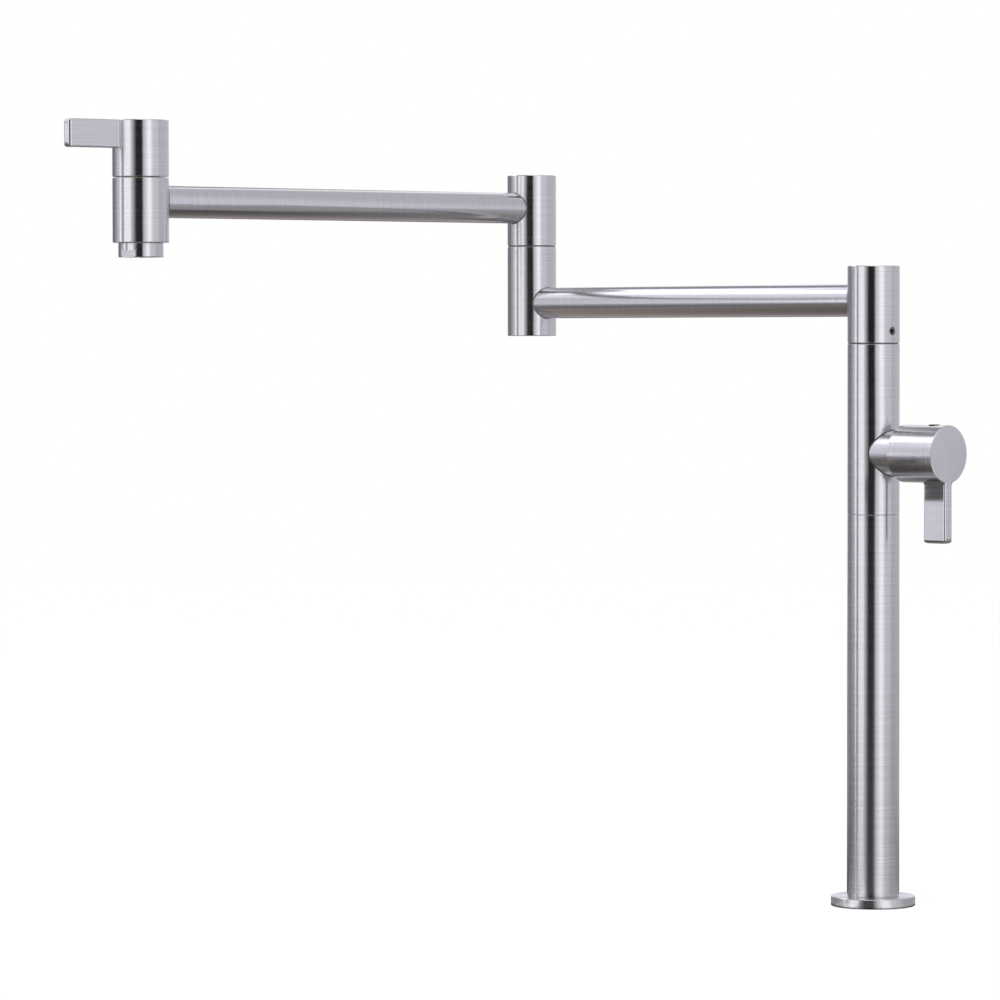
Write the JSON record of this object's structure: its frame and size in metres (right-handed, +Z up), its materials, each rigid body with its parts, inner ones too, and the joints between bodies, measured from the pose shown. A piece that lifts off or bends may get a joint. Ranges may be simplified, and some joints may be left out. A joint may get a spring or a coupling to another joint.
{
  "type": "pot filler",
  "caption": "Deck-mounted pot filler: a round column with a side valve lever, folding tubular arms on swivels and a lever-operated spout with aerator.",
  "frame": {"origin": "centre of the base flange's underside, on the deck surface", "axes": "+Z up along the column; +X along the side valve's turning axis, away from the column; +Y completes the right-handed frame"},
  "size_m": [0.4256, 0.3793, 0.577],
  "materials": {
    "brushed_steel": "fine brushed stainless steel, hairlines round the turned pieces",
    "inner_steel": "machined stainless steel",
    "supply_steel": "drawn stainless steel pipe",
    "cartridge_brass": "machined brass",
    "disc_ceramic": "polished alumina ceramic",
    "seal_rubber": "moulded black rubber",
    "white_plastic": "low-friction white plastic",
    "dark_plastic": "satin black plastic"
  },
  "bodies": {
    "root": {"base_flange": "brushed_steel", "base_seal": "seal_rubber", "deck_shank": "inner_steel", "deck_washer_rubber": "seal_rubber", "deck_washer_steel": "inner_steel", "deck_nut": "cartridge_brass", "column_tube": "brushed_steel", "supply_pipe": "supply_steel", "inlet_nipple": "cartridge_brass", "nipple_o_ring": "seal_rubber", "valve_body": "brushed_steel", "valve_seat_seal": "seal_rubber", "valve_disc_fixed": "disc_ceramic", "valve_cartridge_sleeve": "cartridge_brass", "valve_cartridge_nut": "cartridge_brass", "swivel_post": "inner_steel", "swivel_post_seal": "seal_rubber", "swivel_o_ring_lower": "seal_rubber", "swivel_o_ring_upper": "seal_rubber", "swivel_washer": "dark_plastic"},
    "column_lever": {"column_lever": "brushed_steel", "valve_disc_turning": "disc_ceramic", "valve_spindle": "cartridge_brass", "valve_spindle_o_ring": "seal_rubber", "column_lever_screw": "inner_steel", "column_lever_plug": "dark_plastic"},
    "lower_arm": {"swivel_collar": "brushed_steel", "collar_screw": "inner_steel", "lower_arm_tube": "brushed_steel", "elbow_lower": "brushed_steel", "elbow_post": "inner_steel", "elbow_post_seal": "seal_rubber", "elbow_o_ring_lower": "seal_rubber", "elbow_o_ring_upper": "seal_rubber", "elbow_washer": "dark_plastic"},
    "upper_arm": {"elbow_upper": "brushed_steel", "elbow_screw": "inner_steel", "upper_arm_tube": "brushed_steel", "spout_body": "brushed_steel", "spout_seat_seal": "seal_rubber", "spout_disc_fixed": "disc_ceramic", "spout_cartridge_sleeve": "cartridge_brass", "spout_cartridge_nut": "cartridge_brass", "aerator_housing": "brushed_steel", "aerator_insert": "white_plastic", "aerator_gasket": "seal_rubber"},
    "spout_lever": {"spout_lever": "brushed_steel", "spout_disc_turning": "disc_ceramic", "spout_spindle": "cartridge_brass", "spout_spindle_o_ring": "seal_rubber", "spout_lever_screw": "inner_steel", "spout_lever_plug": "dark_plastic"}
  },
  "joints": [
    {"name": "column_lever_turn", "type": "hinge", "parent": "root", "child": "column_lever", "pos_m": [0, 0, 0.277], "axis": [-1, 0, 0], "range_deg": [0, 90]},
    {"name": "lower_arm_swing", "type": "hinge", "parent": "root", "child": "lower_arm", "pos_m": [0, 0, 0.3435], "axis": [0, 0, 1], "continuous": true},
    {"name": "upper_arm_swing", "type": "hinge", "parent": "lower_arm", "child": "upper_arm", "pos_m": [-0.31104, 0.02448, 0.407], "axis": [0, 0, 1], "continuous": true},
    {"name": "spout_lever_turn", "type": "hinge", "parent": "upper_arm", "child": "spout_lever", "pos_m": [-0.34906, -0.2852, 0.4465], "axis": [0, 0, 1], "range_deg": [0, 90]}
  ]
}
